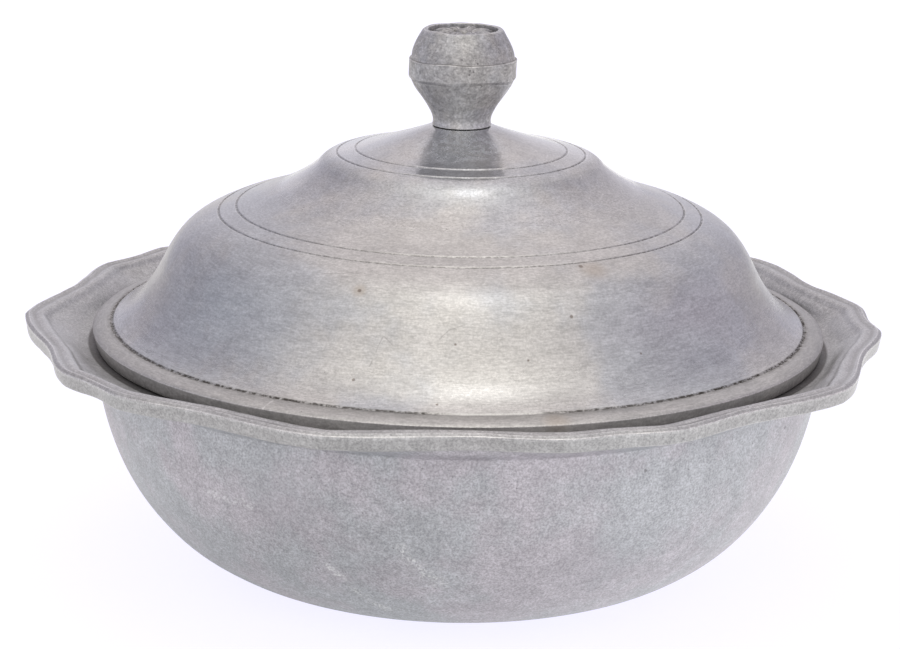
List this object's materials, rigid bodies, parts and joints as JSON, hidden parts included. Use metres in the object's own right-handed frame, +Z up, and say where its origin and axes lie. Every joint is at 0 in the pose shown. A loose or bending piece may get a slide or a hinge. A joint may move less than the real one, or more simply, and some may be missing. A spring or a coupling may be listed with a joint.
{
  "type": "covered vegetable bowl",
  "caption": "Round cast metal serving bowl with a wavy moulded rim and a domed, grooved lid that lifts off by a turned knob.",
  "frame": {"origin": "centre of the bowl's flat base, on the axis of the bowl, lid and knob", "axes": "+Z up along the axis, -X towards one point of the five-pointed rim, +Y completing the right-handed set"},
  "size_m": [0.2823, 0.277, 0.1807],
  "materials": {
    "bowl_casting": "matt, finely pitted as-cast skin, lightly polished on the rim",
    "lid_casting": "satin, turned and brushed in rings, softly stained",
    "knob_metal": "satin, turned, with handling marks",
    "fastener_metal": "plain turned steel"
  },
  "bodies": {
    "bowl": {"bowl": "bowl_casting"},
    "lid": {"lid": "lid_casting", "knob": "knob_metal", "knob_washer": "fastener_metal", "knob_screw": "fastener_metal"}
  },
  "joints": [
    {"name": "lid_lift", "type": "slide", "parent": "bowl", "child": "lid", "axis": [0, 0, 1], "range_m": [0, 0.12]}
  ]
}
